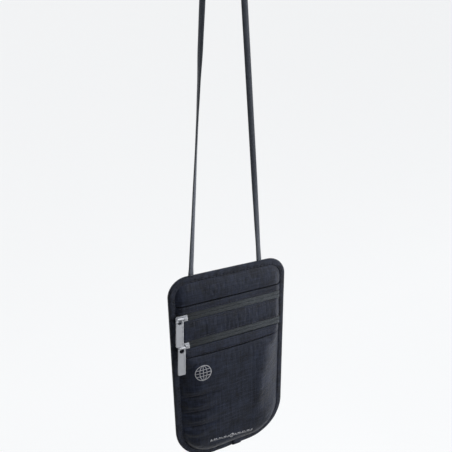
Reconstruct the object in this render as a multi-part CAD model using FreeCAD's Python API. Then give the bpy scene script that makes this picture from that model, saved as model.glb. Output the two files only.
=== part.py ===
"""Neck pouch wallet: a flat fabric pouch with two zipped pockets, hung from a flat cord.

Axes: +X across the pouch, +Y towards the wearer's chest, +Z up. The origin is the top of the
cord's loop. Shapes are built with Z measured from the pouch's top edge and are lowered by
LOOP_DROP when they are saved. All sizes are in millimetres.
"""
import FreeCAD, Part
import math
import os
from FreeCAD import Vector

# Pouch outline
POUCH_WIDTH = 116.0
POUCH_HEIGHT = 200.0
TOP_CORNER = 18.0
BOTTOM_CORNER = 39.0

# Folded binding round the edge, with the groove that holds the panels' edges
BINDING_WIDTH = 6.0
BINDING_HALF = 2.0
BINDING_ROUND = 1.4
GROOVE_INSET = 3.4
GROOVE_HALF = 1.2
FLANGE_INSET = 3.5
SLOPE_INSET = 6.6
LAP_CENTRE = 5.7
LAP_LENGTH = 9.0
LAP_THICK = 0.5

# Cloth and lining
CLOTH = 0.6
DIVIDER_CLOTH = 0.4
BACK_LINING = 0.3
FRONT_LINING = 0.2
BACK_FACE = 3.0
BACK_FLAT_INSET = 11.0
BACK_LINING_INSET = 12.0
DIVIDER_FACE = -2.6
DIVIDER_FLAT_INSET = 10.5
DIVIDER_TOP = -45.8
FRONT_LINING_INSET = 14.0
FRONT_LINING_TOP = -82.0
TOP_PANEL_FACE = -4.1
TOP_PANEL_FLAT_INSET = 14.0
LOWER_PANEL_FACE = -7.9
LOWER_PANEL_FLAT_INSET = 16.0

# Zips: height of each centre line and front face of its tape
ZIPS = {"upper": {"centre": -37.3, "face": -3.5}, "lower": {"centre": -64.2, "face": -5.05}}
TAPE_THICK = 0.5
TAPE_REACH = 4.9
SLOT_HALF = 0.45
COIL_REACH = 1.9
COIL_DEEP = 1.1
RISER = BINDING_WIDTH + 0.3
HEM_HEIGHT = 6.0
HEM_PROUD = 0.3
LOWER_HEM_HEIGHT = 7.0

# Sliders
SLIDER_LEFT = -53.2
SLIDER_RIGHT = -42.4
SLIDER_HALF = 2.9
SLIDER_TAIL_ROUND = 1.6
SLIDER_NOSE_ROUND = 0.5
PLATE_GAP = 0.1
FRONT_PLATE = 0.75
REAR_PLATE = 0.6
REAR_LEFT = -50.8
POST_HALF = 0.35
POST_LENGTH = 2.0
LIP_INNER = 2.1
CROWN_LENGTH = 3.7
CROWN_HALF = 1.9
CROWN_PROUD = 2.2
BAR_RADIUS = 0.55
BAR_STAND_OFF = 1.5
BAR_RISE = {"upper": 1.2, "lower": 0.0}
HEAD_RADIUS = 0.9
HEAD_REACH = (-2.75, -2.15)

# Pulls: each leans a little to the left on its bridge bar and stands forward, the upper one
# to clear the lower slider and the lower one to clear the bulging pocket
PULL_CENTRE = -50.15
PULL_WIDTH = 6.8
PULL_LENGTH = 25.5
PULL_HALF = 0.65
PULL_TIP_ROUND = 0.9
PULL_RIM_ROUND = 0.25
KNUCKLE_RADIUS = 1.25
KNUCKLE_END = 3.2
SHOULDER_LEFT = 3.2
SHOULDER_RIGHT = 1.2
BORE_RADIUS = 0.65
SEAT_RADIUS = 1.05
SEAT_FLOOR = -2.0
CROWN_ROOM = 2.4
EYE_RADIUS = 2.3
EYE_CENTRE = -2.75
RECESS_MARGIN = 1.1
RECESS_TOP = -6.4
RECESS_DEPTH = 0.15
PULL_SKEW = 5.7
PULL_FORWARD = {"upper": 8.0, "lower": 7.5}

# Cord: a flat braid 5 x 1.7, drawn as a round tube of the same section area
CORD_WIDTH = 5.0
CORD_THICK = 1.7
CORD_RADIUS = math.sqrt(CORD_WIDTH * CORD_THICK / math.pi)
LOOP_DROP = 340.0
HOOK_HALF = 7.6
CORD_ROUTE = [
    (-36.0, 0.0, -LOOP_DROP),
    (-HOOK_HALF, 0.0, 0.0),
    (HOOK_HALF, 0.0, 0.0),
    (30.7, 0.0, -LOOP_DROP),
]
BEND_SHARE = 0.45

FORWARD = Vector(0, -1, 0)
RIGHTWARD = Vector(1, 0, 0)
UPSWEEP = Vector(0, 1, 0)


def save(name, shape):
    """Lower a pouch shape to its place under the loop and write it."""
    placed = shape.copy()
    placed.translate(Vector(0, 0, -LOOP_DROP))
    placed.exportStep(f"parts/{name}.step")


def outline(inset, y):
    """The pouch's rounded outline, moved inwards by inset, as a wire at depth y."""
    half = POUCH_WIDTH / 2 - inset
    top = -inset
    low = inset - POUCH_HEIGHT
    edges = []
    corners = [
        (half, top, TOP_CORNER - inset, 0),
        (-half, top, TOP_CORNER - inset, 90),
        (-half, low, BOTTOM_CORNER - inset, 180),
        (half, low, BOTTOM_CORNER - inset, 270),
    ]
    last = None
    for x, z, radius, start in corners:
        centre = Vector(x - math.copysign(radius, x), y, z + (radius if z == low else -radius))
        turn = [math.radians(start + step) for step in (0, 45, 90)]
        arc = [centre + Vector(radius * math.cos(a), 0, radius * math.sin(a)) for a in turn]
        if last is not None:
            edges.append(Part.makeLine(last, arc[0]))
        edges.append(Part.Arc(*arc).toShape())
        last = arc[2]
    edges.append(Part.makeLine(last, edges[0].Vertexes[0].Point))
    return Part.Wire(edges)


def plate(inset, y, thickness):
    """A flat sheet of the pouch's outline, from y to y + thickness."""
    return Part.Face(outline(inset, y)).extrude(Vector(0, thickness, 0))


def dish(flange_y, face_y, flat_inset, skin):
    """A sewn panel: a flat flange in the binding and a raised, flat-topped middle."""
    outward = math.copysign(1.0, face_y - flange_y)
    raised = Part.makeLoft(
        [outline(SLOPE_INSET, flange_y), outline(flat_inset, face_y)], True, True
    )
    hollow = raised.copy()
    hollow.translate(Vector(0, -outward * skin, 0))
    flange = plate(FLANGE_INSET, flange_y, -outward * skin)
    return flange.fuse(raised).cut(hollow).removeSplitter()


def between(shape, low, high):
    """The part of a shape between two heights."""
    wide = POUCH_WIDTH
    slab = Part.makeBox(2 * wide, wide, high - low, Vector(-wide, -wide / 2, low))
    return shape.common(slab)


def box(x, y, z):
    """A box from three (low, high) pairs."""
    return Part.makeBox(x[1] - x[0], y[1] - y[0], z[1] - z[0], Vector(x[0], y[0], z[0]))


def hat_wire(face_y, thickness, z, flat_half=None):
    """Section of a strip across the pouch: flat front, two risers, two flanges in the binding."""
    foot = POUCH_WIDTH / 2 - RISER
    flat = foot if flat_half is None else flat_half
    end = POUCH_WIDTH / 2 - FLANGE_INSET
    front = -GROOVE_HALF
    right = [
        (flat, face_y),
        (foot, front),
        (end, front),
        (end, front + thickness),
        (foot - thickness, front + thickness),
        (flat - thickness, face_y + thickness),
    ]
    left = [(-x, y) for x, y in reversed(right)]
    points = [Vector(x, y, z) for x, y in right + left]
    return Part.makePolygon(points + points[:1])


def hat_strip(low, high, low_face, high_face, thickness, low_flat=None):
    """A hat-section strip whose front may slope between its lower and upper edge."""
    sections = [
        hat_wire(low_face, thickness, low, low_flat),
        hat_wire(high_face, thickness, high),
    ]
    return Part.makeLoft(sections, True, True)


def make_binding():
    """Folded tape round the whole edge, with its ends lapped at the bottom."""
    solid = plate(0, -BINDING_HALF, 2 * BINDING_HALF)
    rims = [e for e in solid.Edges if abs(e.BoundBox.YMax - e.BoundBox.YMin) < 1e-6]
    ring = solid.makeFillet(BINDING_ROUND, rims)
    ring = ring.cut(plate(BINDING_WIDTH, -BINDING_HALF, 2 * BINDING_HALF))
    ring = ring.cut(plate(GROOVE_INSET, -GROOVE_HALF, 2 * GROOVE_HALF))
    save("edge_binding", ring)
    lap_x = (LAP_CENTRE - LAP_LENGTH / 2, LAP_CENTRE + LAP_LENGTH / 2)
    lap_y = (-BINDING_HALF - LAP_THICK, -BINDING_HALF)
    lap_z = (BINDING_ROUND - POUCH_HEIGHT, BINDING_WIDTH - POUCH_HEIGHT)
    save("binding_end_lap", box(lap_x, lap_y, lap_z))


def make_back():
    """Back panel, its shielding film, and the divider between the two pockets."""
    save("back_panel", dish(GROOVE_HALF, BACK_FACE, BACK_FLAT_INSET, CLOTH))
    inner = BACK_FACE - CLOTH - BACK_LINING
    save("shield_lining_back", plate(BACK_LINING_INSET, inner, BACK_LINING))
    divider = dish(-DIVIDER_CLOTH / 2, DIVIDER_FACE, DIVIDER_FLAT_INSET, DIVIDER_CLOTH)
    save("pocket_divider", between(divider, -POUCH_HEIGHT, DIVIDER_TOP))
    film = plate(FRONT_LINING_INSET, DIVIDER_FACE - FRONT_LINING, FRONT_LINING)
    save("shield_lining_front", between(film, -POUCH_HEIGHT, FRONT_LINING_TOP))


def make_front():
    """Front panels and hems, from the top edge down to the bottom seam."""
    upper = ZIPS["upper"]
    lower = ZIPS["lower"]
    hem_low = upper["centre"] + TAPE_REACH
    hem_top = hem_low + HEM_HEIGHT
    top_panel = dish(-GROOVE_HALF, TOP_PANEL_FACE, TOP_PANEL_FLAT_INSET, CLOTH)
    save("top_panel", between(top_panel, hem_top, 0))
    face = upper["face"] - HEM_PROUD
    save("top_hem", hat_strip(hem_low, hem_top, face, face, CLOTH))

    middle_top = upper["centre"] - TAPE_REACH
    middle_low = lower["centre"] + TAPE_REACH
    faces = (lower["face"] - HEM_PROUD, upper["face"] - HEM_PROUD)
    save("middle_panel", hat_strip(middle_low, middle_top, *faces, CLOTH))

    lip_top = lower["centre"] - TAPE_REACH
    lip_low = lip_top - LOWER_HEM_HEIGHT
    flat_half = POUCH_WIDTH / 2 - LOWER_PANEL_FLAT_INSET
    lip = hat_strip(lip_low, lip_top, LOWER_PANEL_FACE, faces[0], CLOTH, flat_half)
    save("lower_hem", lip)
    panel = dish(-GROOVE_HALF, LOWER_PANEL_FACE, LOWER_PANEL_FLAT_INSET, CLOTH)
    save("lower_panel", between(panel, -POUCH_HEIGHT, lip_low))


def make_chain(name, centre, face):
    """The two tapes of a zip, each with its coil on the hidden side."""
    reach = POUCH_WIDTH / 2 - RISER - TAPE_THICK - 0.3
    coil_y = (face + TAPE_THICK, face + TAPE_THICK + COIL_DEEP)
    for side, sign in (("top", 1), ("bottom", -1)):
        tape_z = sorted((centre + sign * SLOT_HALF, centre + sign * TAPE_REACH))
        coil_z = sorted((centre + sign * SLOT_HALF, centre + sign * COIL_REACH))
        save(f"{name}_tape_{side}", hat_strip(*tape_z, face, face, TAPE_THICK))
        save(f"{name}_coil_{side}", box((-reach, reach), coil_y, coil_z))


def make_slider_body(name, centre, face):
    """Slider body: front plate, post between the coils, and a rear plate with two lips."""
    front_y = (face - PLATE_GAP - FRONT_PLATE, face - PLATE_GAP)
    coil_back = face + TAPE_THICK + COIL_DEEP
    rear_y = (coil_back + PLATE_GAP, coil_back + PLATE_GAP + REAR_PLATE)
    rear_x = (REAR_LEFT, SLIDER_RIGHT - 0.2)
    tall = (centre - SLIDER_HALF, centre + SLIDER_HALF)
    front = box((SLIDER_LEFT, SLIDER_RIGHT), front_y, tall)
    front = round_corners(front, FRONT_PLATE, SLIDER_LEFT, SLIDER_TAIL_ROUND)
    front = round_corners(front, FRONT_PLATE, SLIDER_RIGHT, SLIDER_NOSE_ROUND)
    post_x = (REAR_LEFT, REAR_LEFT + POST_LENGTH)
    post = box(post_x, (front_y[1], rear_y[0]), (centre - POST_HALF, centre + POST_HALF))
    body = front.fuse(box(rear_x, rear_y, tall)).fuse(post)
    for sign in (1, -1):
        lip_z = sorted((centre + sign * LIP_INNER, centre + sign * SLIDER_HALF))
        body = body.fuse(box(rear_x, (face + TAPE_THICK + PLATE_GAP, rear_y[0]), lip_z))
    save(f"{name}_slider_body", body.removeSplitter())


def round_corners(shape, depth, x, radius):
    """Round a plate's upright corners at one end."""
    corners = []
    for edge in shape.Edges:
        span = edge.BoundBox
        if abs(span.YLength - depth) < 1e-6 and abs(span.XMin - x) < 1e-6 and span.XLength < 1e-6:
            corners.append(edge)
    return shape.makeFillet(radius, corners)


def bar_place(name, centre, face):
    """Middle of the bridge bar, which is the pull's hinge point."""
    plate_y = face - PLATE_GAP - FRONT_PLATE
    return Vector(PULL_CENTRE, plate_y - BAR_STAND_OFF, centre + BAR_RISE[name])


def make_bridge(name, centre, hinge):
    """Bridge: a crown on the slider's nose, and a headed bar out of it for the pull's eye."""
    plate_y = hinge.y + BAR_STAND_OFF
    crown_right = SLIDER_RIGHT - 0.5
    crown_left = crown_right - CROWN_LENGTH
    crown_y = (plate_y - CROWN_PROUD, plate_y)
    crown = box((crown_left, crown_right), crown_y, (centre - CROWN_HALF, centre + CROWN_HALF))
    rims = [e for e in crown.Edges if e.BoundBox.YMax < plate_y - 0.1]
    crown = crown.makeFillet(0.6, rims)
    bar_start = hinge + Vector(HEAD_REACH[0], 0, 0)
    bar = Part.makeCylinder(BAR_RADIUS, crown_left + 0.8 - bar_start.x, bar_start, RIGHTWARD)
    head = Part.makeCylinder(HEAD_RADIUS, HEAD_REACH[1] - HEAD_REACH[0], bar_start, RIGHTWARD)
    head_rim = [e for e in head.Edges if e.BoundBox.XMax < bar_start.x + 0.01]
    bar = bar.fuse(head.makeFillet(0.3, head_rim))
    bar.rotate(hinge, UPSWEEP, PULL_SKEW)
    save(f"{name}_slider_bridge", crown.fuse(bar).removeSplitter())


def pull_mask(hinge, tip, deep):
    """Outline of the pull: a tall box whose upper corners are rounded, the left one widely."""
    wide = (hinge.x - PULL_WIDTH / 2, hinge.x + PULL_WIDTH / 2)
    mask = box(wide, (hinge.y - deep / 2, hinge.y + deep / 2), (tip, hinge.z + KNUCKLE_RADIUS))
    for x, radius in ((wide[0], SHOULDER_LEFT), (wide[1], SHOULDER_RIGHT)):
        corner = []
        for edge in mask.Edges:
            span = edge.BoundBox
            upright = abs(span.YLength - deep) < 1e-6 and span.ZMin > tip + 1
            if upright and abs(span.XMin - x) < 1e-6 and span.XLength < 1e-6:
                corner.append(edge)
        mask = mask.makeFillet(radius, corner)
    return mask


def make_pull(name, hinge):
    """Pull: a flat bar with a knuckle round the bridge bar and an open eye below it."""
    wide = (hinge.x - PULL_WIDTH / 2, hinge.x + PULL_WIDTH / 2)
    tip = hinge.z - PULL_LENGTH
    deep = 4 * KNUCKLE_RADIUS
    bar_y = (hinge.y - PULL_HALF, hinge.y + PULL_HALF)
    bar = box(wide, bar_y, (tip, hinge.z))
    tip_edges = []
    for edge in bar.Edges:
        span = edge.BoundBox
        if abs(span.YLength - 2 * PULL_HALF) < 1e-6 and span.ZMax < tip + 1:
            tip_edges.append(edge)
    bar = bar.makeFillet(PULL_TIP_ROUND, tip_edges)
    rims = [e for e in bar.Edges if e.BoundBox.YLength < 1e-6 and e.BoundBox.ZMin < hinge.z - 1]
    bar = bar.makeFillet(PULL_RIM_ROUND, rims)
    recess_x = (wide[0] + RECESS_MARGIN, wide[1] - RECESS_MARGIN)
    recess_z = (tip + RECESS_MARGIN, hinge.z + RECESS_TOP)
    bar = bar.cut(box(recess_x, (bar_y[0] - 1, bar_y[0] + RECESS_DEPTH), recess_z))

    knuckle_length = KNUCKLE_END - (wide[0] - hinge.x)
    knuckle = Part.makeCylinder(KNUCKLE_RADIUS, knuckle_length, Vector(wide[0], hinge.y, hinge.z), RIGHTWARD)
    pull = knuckle.fuse(bar).common(pull_mask(hinge, tip, deep))
    end_x = (hinge.x + KNUCKLE_END, wide[1] + 1)
    pull = pull.cut(box(end_x, (hinge.y - deep, hinge.y + deep), (hinge.z - CROWN_ROOM, hinge.z + deep)))
    eye_from = Vector(hinge.x, hinge.y + deep, hinge.z + EYE_CENTRE)
    pull = pull.cut(Part.makeCylinder(EYE_RADIUS, 2 * deep, eye_from, FORWARD))
    bore_from = Vector(wide[0] - 1, hinge.y, hinge.z)
    pull = pull.cut(Part.makeCylinder(BORE_RADIUS, PULL_WIDTH + 2, bore_from, RIGHTWARD))
    seat_length = hinge.x + SEAT_FLOOR - bore_from.x
    pull = pull.cut(Part.makeCylinder(SEAT_RADIUS, seat_length, bore_from, RIGHTWARD))
    pull.rotate(hinge, Vector(-1, 0, 0), PULL_FORWARD[name])
    pull.rotate(hinge, UPSWEEP, PULL_SKEW)
    save(f"{name}_pull", pull)


def cord_path(points):
    """Straight runs joined by tangent arcs, with each arc's radius printed."""
    route = [Vector(*p) for p in points]
    edges = []
    last = route[0]
    for before, corner, after in zip(route, route[1:], route[2:]):
        back = (before - corner).normalize()
        ahead = (after - corner).normalize()
        half_turn = (math.pi - back.getAngle(ahead)) / 2
        shorter = min((before - corner).Length, (after - corner).Length)
        reach = BEND_SHARE * shorter
        radius = reach / math.tan(half_turn)
        print(f"cord bend radius {radius:.1f} mm")
        start = corner + back * reach
        end = corner + ahead * reach
        middle = (back + ahead).normalize()
        peak = corner + middle * (radius / math.cos(half_turn) - radius)
        edges.append(Part.makeLine(last, start))
        edges.append(Part.Arc(start, peak, end).toShape())
        last = end
    edges.append(Part.makeLine(last, route[-1]))
    return Part.Wire(edges)


def make_cord():
    """One cord from the left top edge, over the hook at the origin, to the right top edge."""
    path = cord_path(CORD_ROUTE)
    start = Vector(*CORD_ROUTE[0])
    direction = (Vector(*CORD_ROUTE[1]) - start).normalize()
    ring = Part.Wire(Part.makeCircle(CORD_RADIUS, start, direction))
    tube = path.makePipeShell([ring], True, True)
    under = POUCH_WIDTH
    tube = tube.cut(Part.makeBox(under, under, under, Vector(-under / 2, -under / 2, -LOOP_DROP - under)))
    section = math.pi * CORD_RADIUS ** 2
    filled = tube.Volume / section / path.Length
    print(f"cord length {path.Length:.1f} mm, volume / (section x length) {filled:.4f}")
    tube.exportStep("parts/neck_cord.step")


def main():
    os.makedirs("parts", exist_ok=True)
    make_binding()
    make_back()
    make_front()
    for name, place in ZIPS.items():
        centre = place["centre"]
        face = place["face"]
        hinge = bar_place(name, centre, face)
        make_chain(name, centre, face)
        make_slider_body(name, centre, face)
        make_bridge(name, centre, hinge)
        make_pull(name, hinge)
        print(f"{name} pull hinge {hinge.x:.2f}, {hinge.y:.2f}, {hinge.z - LOOP_DROP:.2f}")
    make_cord()


main()
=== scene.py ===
"""Looks of the neck pouch wallet: cloth, binding, zips, print, thread and cord round its frame."""

import math

import bpy
import numpy as np
from mathutils import Matrix, Vector, noise
from mathutils.bvhtree import BVHTree


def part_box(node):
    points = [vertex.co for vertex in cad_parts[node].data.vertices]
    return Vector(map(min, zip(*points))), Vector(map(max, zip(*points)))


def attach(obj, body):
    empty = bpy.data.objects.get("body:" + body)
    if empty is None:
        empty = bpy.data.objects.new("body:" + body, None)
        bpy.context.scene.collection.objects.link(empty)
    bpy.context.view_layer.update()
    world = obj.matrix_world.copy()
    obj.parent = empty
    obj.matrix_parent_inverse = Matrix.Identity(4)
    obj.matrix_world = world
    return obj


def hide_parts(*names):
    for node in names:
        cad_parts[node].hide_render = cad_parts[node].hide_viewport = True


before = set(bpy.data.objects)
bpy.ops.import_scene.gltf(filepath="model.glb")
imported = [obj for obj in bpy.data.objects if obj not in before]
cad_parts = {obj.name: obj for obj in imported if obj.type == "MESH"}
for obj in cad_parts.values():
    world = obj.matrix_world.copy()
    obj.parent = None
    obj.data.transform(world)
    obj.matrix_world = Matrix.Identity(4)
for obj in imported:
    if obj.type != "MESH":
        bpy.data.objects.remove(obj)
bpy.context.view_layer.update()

# Everything below is in millimetres, with Z measured from the pouch's top edge, and goes to
# metres in the row frame when a mesh is made.
MM = 0.001
pouch_low, pouch_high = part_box("edge_binding")
POUCH_TOP = pouch_high.z / MM
HALF_WIDTH = pouch_high.x / MM
HEIGHT = (pouch_high.z - pouch_low.z) / MM
TOP_CORNER = 18.0
BOTTOM_CORNER = 39.0
BINDING_WIDTH = 6.0

ZIPS = {}
for zip_name in ("upper", "lower"):
    tape_low, tape_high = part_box(f"{zip_name}_tape_top")
    under_low, under_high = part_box(f"{zip_name}_tape_bottom")
    ZIPS[zip_name] = {
        "centre": (tape_high.z + under_low.z) / 2 / MM - POUCH_TOP,
        "reach": (tape_high.z - under_low.z) / 2 / MM,
        "face": tape_low.y / MM,
    }
UPPER = ZIPS["upper"]
LOWER = ZIPS["lower"]
HEM_HEIGHT = 6.0
LOWER_HEM_HEIGHT = 6.6
LOWER_HEM_DROOP = 2.4


# ---------------------------------------------------------------- camera, light, stage

CAMERA_PITCH = math.radians(20.36)
CAMERA_YAW = math.radians(25.55)
CAMERA_ROLL = math.radians(-0.86)
CAMERA_PLACE = (-171.3, -354.3, 185.0)
CAMERA_LENS = 39.0


def make_camera():
    """A camera above the pouch and to its left, looking down at it."""
    pitch, yaw = CAMERA_PITCH, CAMERA_YAW
    look = Vector((math.sin(yaw) * math.cos(pitch), math.cos(yaw) * math.cos(pitch), -math.sin(pitch)))
    right = Vector((math.cos(yaw), -math.sin(yaw), 0))
    up = right.cross(look)
    turned_right = right * math.cos(CAMERA_ROLL) + up * math.sin(CAMERA_ROLL)
    turned_up = up * math.cos(CAMERA_ROLL) - right * math.sin(CAMERA_ROLL)
    x, y, z = CAMERA_PLACE
    data = bpy.data.cameras.new("camera")
    data.lens = CAMERA_LENS
    data.clip_start = 0.01
    data.clip_end = 20
    camera = bpy.data.objects.new("camera", data)
    turn = Matrix((turned_right, turned_up, -look)).transposed()
    camera.matrix_world = Matrix.Translation(Vector((x, y, z + POUCH_TOP)) * MM) @ turn.to_4x4()
    bpy.context.scene.collection.objects.link(camera)
    bpy.context.scene.camera = camera


def area_light(name, place, target, size, power, colour=(1, 1, 1)):
    data = bpy.data.lights.new(name, "AREA")
    data.shape = "RECTANGLE"
    data.size, data.size_y = size
    data.energy = power
    data.color = colour
    light = bpy.data.objects.new(name, data)
    aim = Vector(target) - Vector(place)
    light.matrix_world = Matrix.Translation(place) @ aim.to_track_quat("-Z", "Y").to_matrix().to_4x4()
    bpy.context.scene.collection.objects.link(light)


BRIGHT_SIDE = (0.72, 0.30, 0.62)


def make_light():
    """Soft studio light: a large box from the upper right, and a room that is bright on that side."""
    middle = (0, 0, (POUCH_TOP - HEIGHT / 2) * MM)
    area_light("key", (0.46, -0.46, -0.15), middle, (0.35, 0.85), 3.7)
    area_light("side", (0.55, -0.15, -0.62), middle, (0.3, 0.4), 0.9)
    world = bpy.data.worlds.new("studio")
    bpy.context.scene.world = world
    world.use_nodes = True
    tree = world.node_tree
    background = tree.nodes["Background"]
    coords = tree.nodes.new("ShaderNodeTexCoord")
    toward = tree.nodes.new("ShaderNodeVectorMath")
    toward.operation = "DOT_PRODUCT"
    toward.inputs[1].default_value = BRIGHT_SIDE
    room = tree.nodes.new("ShaderNodeMapRange")
    room.inputs["From Min"].default_value = -0.35
    room.inputs["From Max"].default_value = 0.95
    room.inputs["To Min"].default_value = 0.03
    room.inputs["To Max"].default_value = 1.2
    tree.links.new(coords.outputs["Generated"], toward.inputs[0])
    tree.links.new(toward.outputs["Value"], room.inputs["Value"])
    tree.links.new(room.outputs["Result"], background.inputs["Strength"])
    background.inputs["Color"].default_value = (0.93, 0.96, 1.0, 1)
    paper = tree.nodes.new("ShaderNodeBackground")
    paper.inputs["Color"].default_value = (0.90, 0.91, 0.92, 1)
    seen = tree.nodes.new("ShaderNodeLightPath")
    either = tree.nodes.new("ShaderNodeMixShader")
    tree.links.new(seen.outputs["Is Camera Ray"], either.inputs["Fac"])
    tree.links.new(background.outputs[0], either.inputs[1])
    tree.links.new(paper.outputs[0], either.inputs[2])
    tree.links.new(either.outputs[0], tree.nodes["World Output"].inputs["Surface"])
    bpy.context.scene.view_settings.view_transform = "Standard"


def make_stage():
    """Pale floor well below the pouch, curving up into a wall behind it."""
    floor_z = (POUCH_TOP - HEIGHT) * MM - 0.45
    wall_y, bend, reach = 1.8, 1.0, 5.0
    profile = [(-0.1, floor_z)]
    for step in range(13):
        turn = math.radians(90 * step / 12)
        profile.append((wall_y - bend + bend * math.sin(turn), floor_z + bend - bend * math.cos(turn)))
    profile.append((wall_y, floor_z + reach))
    points = [(x, y, z) for y, z in profile for x in (-reach, reach)]
    faces = [(2 * i, 2 * i + 1, 2 * i + 3, 2 * i + 2) for i in range(len(profile) - 1)]
    mesh = bpy.data.meshes.new("studio_floor")
    mesh.from_pydata(points, [], faces)
    mesh.shade_smooth()
    floor = bpy.data.objects.new("studio_floor", mesh)
    bpy.context.scene.collection.objects.link(floor)
    floor.data.materials.append(stage_material())


# ---------------------------------------------------------------- materials

class Nodes:
    """Short calls for building a material's node tree round one Principled shader."""

    def __init__(self, name):
        self.material = bpy.data.materials.new(name)
        self.material.use_nodes = True
        self.tree = self.material.node_tree
        self.shader = self.tree.nodes["Principled BSDF"]

    def add(self, kind, inputs=None, **settings):
        made = self.tree.nodes.new(kind)
        for key, value in settings.items():
            setattr(made, key, value)
        for key, value in (inputs or {}).items():
            self.put(value, made.inputs[key])
        return made

    def put(self, value, socket):
        if isinstance(value, bpy.types.NodeSocket):
            self.tree.links.new(value, socket)
        else:
            socket.default_value = value

    def maths(self, operation, *values):
        made = self.add("ShaderNodeMath", operation=operation)
        for value, socket in zip(values, made.inputs):
            self.put(value, socket)
        return made.outputs[0]

    def coords(self, kind="Object"):
        return self.add("ShaderNodeTexCoord").outputs[kind]

    def split(self, vector):
        return self.add("ShaderNodeSeparateXYZ", {0: vector}).outputs

    def noise(self, vector, scale, detail=3.0, stretch=(1, 1, 1), rough=0.5):
        mapped = self.add("ShaderNodeMapping", {"Vector": vector, "Scale": stretch}).outputs[0]
        inputs = {"Vector": mapped, "Scale": scale, "Detail": detail, "Roughness": rough}
        return self.add("ShaderNodeTexNoise", inputs).outputs["Fac"]

    def wave(self, value, pitch):
        """A sine of one coordinate with this pitch in metres, from 0 to 1."""
        sine = self.maths("SINE", self.maths("MULTIPLY", value, 2 * math.pi / pitch))
        return self.maths("MULTIPLY_ADD", sine, 0.5, 0.5)

    def ramp(self, value, low, high, to_low=0.0, to_high=1.0):
        inputs = {0: value, 1: low, 2: high, 3: to_low, 4: to_high}
        return self.add("ShaderNodeMapRange", inputs).outputs[0]

    def mix(self, share, first, second):
        made = self.add("ShaderNodeMix", data_type="RGBA")
        self.put(share, made.inputs["Factor"])
        self.put(first, made.inputs[6])
        self.put(second, made.inputs[7])
        return made.outputs[2]

    def bump(self, height, distance, strength=1.0, under=None):
        inputs = {"Height": height, "Distance": distance, "Strength": strength}
        if under is not None:
            inputs["Normal"] = under
        return self.add("ShaderNodeBump", inputs).outputs[0]

    def finish(self, colour, roughness, normal=None, **constants):
        self.put(colour, self.shader.inputs["Base Color"])
        self.put(roughness, self.shader.inputs["Roughness"])
        if normal is not None:
            self.put(normal, self.shader.inputs["Normal"])
        for key, value in constants.items():
            self.shader.inputs[key.replace("_", " ")].default_value = value
        return self.material


def grey(value, blue=1.0, green=1.0):
    return (value, value * green, value * blue, 1)


def stage_material():
    n = Nodes("studio_paper")
    speck = n.noise(n.coords(), 6.0)
    n.shader.inputs["Emission Color"].default_value = (0.98, 0.99, 1.0, 1)
    n.shader.inputs["Emission Strength"].default_value = 0.80
    return n.finish(n.mix(speck, grey(0.17), grey(0.18)), 0.9)


def cloth_material(name="ripstop_nylon", dark=grey(0.0045, 2.6, 1.35), light=grey(0.025, 2.3, 1.28)):
    """Ripstop nylon: fine plain weave, heathered yarn, and thicker threads in a small grid."""
    n = Nodes(name)
    place = n.coords()
    x, _, z = n.split(place)
    warp = n.noise(place, 900, 2, (1.0, 0.4, 0.10))
    weft = n.noise(place, 900, 2, (0.10, 0.4, 1.0))
    heather = n.maths("MULTIPLY_ADD", n.maths("ADD", warp, weft), 0.5, 0.0)
    cloud = n.noise(place, 60, 5, (1, 1, 1), 0.65)
    weave = n.maths("MULTIPLY", n.wave(x, 0.00062), n.wave(z, 0.00062))
    rip_x = n.maths("GREATER_THAN", n.wave(x, 0.0042), 0.975)
    rip_z = n.maths("GREATER_THAN", n.wave(z, 0.0042), 0.975)
    rip = n.maths("MAXIMUM", rip_x, rip_z)
    tone = n.maths("MULTIPLY_ADD", n.ramp(heather, 0.36, 0.64), 0.8, n.maths("MULTIPLY", rip, 0.16))
    tone = n.maths("MULTIPLY_ADD", n.maths("SUBTRACT", cloud, 0.5), 1.3, tone)
    colour = n.mix(n.add("ShaderNodeClamp", {0: tone}).outputs[0], dark, light)
    rough = n.ramp(heather, 0.3, 0.7, 0.46, 0.62)
    height = n.maths("MULTIPLY_ADD", rip, 0.8, weave)
    normal = n.bump(height, 0.00012, 0.55, n.bump(n.noise(place, 130, 3), 0.0006, 0.35))
    return n.finish(colour, rough, normal, Specular_IOR_Level=0.24, Sheen_Weight=0.06)


def seam_shade_material():
    """Painted shade: a black strip, seen only at the bottom of a seam's groove, standing in for the shadow
    there.
    """
    n = Nodes("painted_seam_shade")
    place = n.coords()
    x, _, z = n.split(place)
    weave = n.maths("MULTIPLY", n.wave(x, 0.0005), n.wave(z, 0.0005))
    tone = n.noise(place, 300, 3)
    # Near-black colour standing in for the shadow at the bottom of the groove: painted shade.
    colour = n.mix(tone, grey(0.0015), grey(0.004))
    rough = n.ramp(tone, 0.3, 0.7, 0.8, 0.95)
    return n.finish(colour, rough, n.bump(weave, 0.0001, 0.4), Specular_IOR_Level=0.1)


def binding_material():
    """Ribbed binding tape: ribs across its length, from the mesh's own length coordinate."""
    n = Nodes("ribbed_binding")
    along, across, _ = n.split(n.coords("UV"))
    place = n.coords()
    rib = n.wave(along, 0.0011)
    edge = n.wave(across, 0.0006)
    mottle = n.noise(place, 260, 4)
    tone = n.ramp(n.maths("MULTIPLY_ADD", rib, 0.3, n.maths("MULTIPLY", mottle, 0.7)), 0.3, 0.72)
    colour = n.mix(tone, grey(0.0015, 2.4, 1.3), grey(0.034, 2.0, 1.22))
    height = n.maths("MULTIPLY_ADD", edge, 0.25, rib)
    normal = n.bump(height, 0.0003, 0.8, n.bump(n.noise(place, 140, 3), 0.0014, 0.7))
    rough = n.ramp(mottle, 0.2, 0.8, 0.5, 0.72)
    return n.finish(colour, rough, normal, Specular_IOR_Level=0.25, Sheen_Weight=0.03)


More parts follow.
